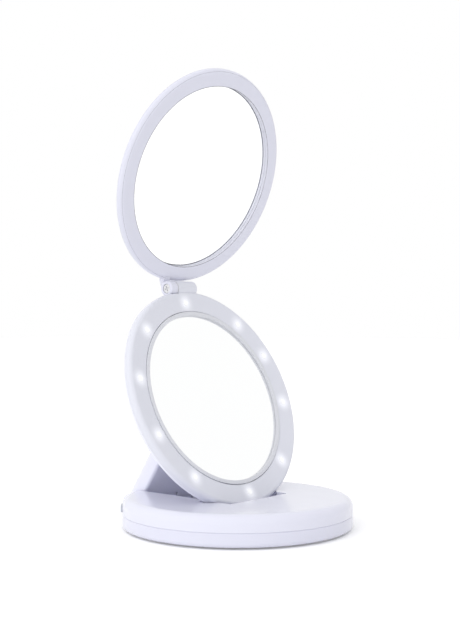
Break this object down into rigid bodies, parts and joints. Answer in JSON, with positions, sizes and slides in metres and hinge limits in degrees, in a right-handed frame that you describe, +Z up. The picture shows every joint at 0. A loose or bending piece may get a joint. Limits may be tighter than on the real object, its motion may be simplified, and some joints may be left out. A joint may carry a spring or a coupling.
{
  "type": "lighted makeup mirror",
  "caption": "Fold-away tabletop makeup mirror: a round base, a hinged arm, a lit round mirror with lamps in its face and a second mirror hinged to it as a lid.",
  "frame": {"origin": "on the table, under the middle of the object's bounding box", "axes": "+Z up, +Y towards the back, so that the mirrors face -Y, and +X to the right as seen by the user"},
  "size_m": [0.1512, 0.1564, 0.3],
  "materials": {
    "white_shell": "glossy moulded white",
    "face_plastic": "satin white face",
    "mirror": "silvered glass",
    "lens": "clear diffusing lens, lit",
    "lamp_chip": "lamp chip",
    "board": "coated circuit board",
    "steel": "plated steel",
    "rubber": "soft non-slip",
    "inner_plastic": "plain moulded",
    "cell": "plain jacket",
    "contact": "nickel plated",
    "button": "pale grey"
  },
  "bodies": {
    "base": {"base_bottom_shell": "white_shell", "base_top_shell": "white_shell", "base_screws": "steel", "feet": "rubber", "battery_tray": "inner_plastic", "battery_door": "white_shell", "batteries": "cell", "battery_contacts": "contact", "control_board": "board", "power_switch": "inner_plastic", "arm_hinge_pin": "steel", "arm_hinge_washers": "inner_plastic"},
    "button": {"power_button": "button"},
    "arm": {"arm_body": "white_shell", "arm_rear_cover": "white_shell", "arm_cover_screws": "steel"},
    "lit_mirror_body": {"tilt_pin": "steel", "tilt_washers": "inner_plastic", "lit_rear_cover": "white_shell", "lit_front_frame": "face_plastic", "lit_bezel": "white_shell", "lit_mirror": "mirror", "led_board": "board", "leds": "lamp_chip", "led_lenses": "lens", "hinge_screw": "steel", "hinge_washer": "inner_plastic"},
    "lid": {"lid_front_frame": "face_plastic", "lid_mirror": "mirror", "lid_rear_cover": "white_shell"}
  },
  "joints": [
    {"name": "arm_hinge", "type": "hinge", "parent": "base", "child": "arm", "pos_m": [0, 0.07025, 0.0092], "axis": [1, 0, 0], "range_deg": [-15, 0]},
    {"name": "mirror_tilt", "type": "hinge", "parent": "arm", "child": "lit_mirror_body", "pos_m": [0, 0.02717, 0.07446], "axis": [1, 0, 0], "range_deg": [-45, 0]},
    {"name": "lid_hinge", "type": "hinge", "parent": "lit_mirror_body", "child": "lid", "pos_m": [0, 0.04758, 0.15639], "axis": [1, 0, 0], "range_deg": [-40, 132]},
    {"name": "power_button_press", "type": "slide", "parent": "base", "child": "button", "axis": [0.7071, -0.7071, 0], "range_m": [0, 0.0008], "stiffness_N_per_m": 400}
  ]
}
